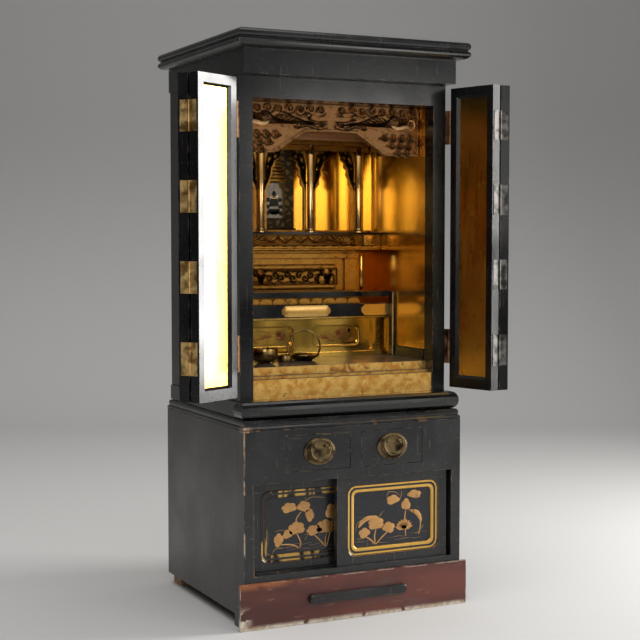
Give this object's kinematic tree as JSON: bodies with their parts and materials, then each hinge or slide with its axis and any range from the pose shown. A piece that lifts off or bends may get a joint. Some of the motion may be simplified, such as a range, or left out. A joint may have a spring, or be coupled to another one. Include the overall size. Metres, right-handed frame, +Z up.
{
  "type": "household altar cabinet",
  "caption": "Tall black-lacquered household altar cabinet with bi-fold doors, a tiered gold interior, and a lower cupboard with sliding doors and drawers.",
  "frame": {"origin": "middle of the whole box, with the doors as they stand open, on the floor", "axes": "+Z up, -Y to the cabinet's front, +X to the right of someone who faces its front"},
  "size_m": [0.7658, 0.5858, 1.3],
  "materials": {
    "black_lacquer": "satin black lacquer",
    "brown_black_lacquer": "worn brown-black lacquer",
    "red_lacquer": "worn red lacquer",
    "bare_wood": "bare wood",
    "stained_wood": "stained wood",
    "gold_leaf": "gold leaf",
    "dull_gold_leaf": "dull gold leaf",
    "painted_picture": "black lacquer with a gold picture",
    "brass": "aged brass",
    "copper_hinge": "aged copper alloy",
    "brocade": "brocade"
  },
  "bodies": {
    "cabinet": {"base_front_frame": "black_lacquer", "base_top_board": "black_lacquer", "base_panel_left": "brown_black_lacquer", "base_panel_right": "brown_black_lacquer", "base_back": "bare_wood", "base_shelf": "bare_wood", "base_floor": "bare_wood", "rear_foot_rail": "bare_wood", "upper_bottom_board": "black_lacquer", "waist_moulding": "black_lacquer", "upper_side_left": "brown_black_lacquer", "upper_side_right": "brown_black_lacquer", "upper_front_frame": "black_lacquer", "cornice_frieze": "black_lacquer", "crown_board": "black_lacquer", "upper_back": "bare_wood", "ceiling_board": "black_lacquer", "jamb_hinge_left_lower": "copper_hinge", "jamb_hinge_left_upper": "copper_hinge", "jamb_hinge_right_lower": "copper_hinge", "jamb_hinge_right_upper": "copper_hinge", "inner_wall_left": "gold_leaf", "inner_wall_right": "gold_leaf", "inner_back_wall": "gold_leaf", "gold_threshold": "gold_leaf", "inner_floor": "gold_leaf", "step_surround": "black_lacquer", "altar_step": "gold_leaf", "step_rail": "black_lacquer", "petal_strip": "dull_gold_leaf", "pedestal": "dull_gold_leaf", "altar_table": "gold_leaf", "palace_front": "dull_gold_leaf", "hanging_scroll": "brocade", "header_board": "stained_wood", "carved_transom": "gold_leaf", "bell_bowl": "brass", "hooped_dish": "brass", "low_ring": "brass"},
    "leaf_left_inner": {"leaf_frame_left_inner": "black_lacquer", "leaf_panel_left_inner": "gold_leaf"},
    "leaf_left_outer": {"leaf_frame_left_outer": "black_lacquer", "leaf_panel_left_outer": "gold_leaf"},
    "leaf_right_inner": {"leaf_frame_right_inner": "black_lacquer", "leaf_panel_right_inner": "gold_leaf"},
    "leaf_right_outer": {"leaf_frame_right_outer": "black_lacquer", "leaf_panel_right_outer": "gold_leaf"},
    "small_drawer_left": {"drawer_left": "black_lacquer", "pull_plate_left": "brass"},
    "small_drawer_right": {"drawer_right": "black_lacquer", "pull_plate_right": "brass"},
    "bail_left": {"pull_bail_left": "brass"},
    "bail_right": {"pull_bail_right": "brass"},
    "bottom_drawer": {"plinth_drawer": "red_lacquer", "plinth_grip": "black_lacquer"},
    "slide_door_left": {"slide_frame_left": "black_lacquer", "slide_panel_left": "painted_picture"},
    "slide_door_right": {"slide_frame_right": "black_lacquer", "slide_panel_right": "painted_picture"}
  },
  "joints": [
    {"name": "left_jamb_hinge", "type": "hinge", "parent": "cabinet", "child": "leaf_left_inner", "pos_m": [-0.23694, -0.16206, 0.853], "axis": [0, 0, 1], "range_deg": [-8, 150.5]},
    {"name": "left_fold_hinge", "type": "hinge", "parent": "leaf_left_inner", "child": "leaf_left_outer", "pos_m": [-0.36609, -0.211, 0.853], "axis": [0, 0, 1], "range_deg": [-12, 164]},
    {"name": "right_jamb_hinge", "type": "hinge", "parent": "cabinet", "child": "leaf_right_inner", "pos_m": [0.30006, -0.16206, 0.853], "axis": [0, 0, 1], "range_deg": [-106, 36]},
    {"name": "right_fold_hinge", "type": "hinge", "parent": "leaf_right_inner", "child": "leaf_right_outer", "pos_m": [0.35787, -0.28749, 0.853], "axis": [0, 0, 1], "range_deg": [-164, 12]},
    {"name": "left_drawer_slide", "type": "slide", "parent": "cabinet", "child": "small_drawer_left", "axis": [0, -1, 0], "range_m": [0, 0.26]},
    {"name": "right_drawer_slide", "type": "slide", "parent": "cabinet", "child": "small_drawer_right", "axis": [0, -1, 0], "range_m": [0, 0.26]},
    {"name": "left_bail_hinge", "type": "hinge", "parent": "small_drawer_left", "child": "bail_left", "pos_m": [-0.06044, -0.21506, 0.3955], "axis": [-1, 0, 0], "range_deg": [0, 95]},
    {"name": "right_bail_hinge", "type": "hinge", "parent": "small_drawer_right", "child": "bail_right", "pos_m": [0.12356, -0.21506, 0.3955], "axis": [-1, 0, 0], "range_deg": [0, 95]},
    {"name": "bottom_drawer_slide", "type": "slide", "parent": "cabinet", "child": "bottom_drawer", "axis": [0, -1, 0], "range_m": [0, 0.3]},
    {"name": "left_door_slide", "type": "slide", "parent": "cabinet", "child": "slide_door_left", "axis": [1, 0, 0], "range_m": [0, 0.212]},
    {"name": "right_door_slide", "type": "slide", "parent": "cabinet", "child": "slide_door_right", "axis": [1, 0, 0], "range_m": [-0.205, 0.008]}
  ]
}
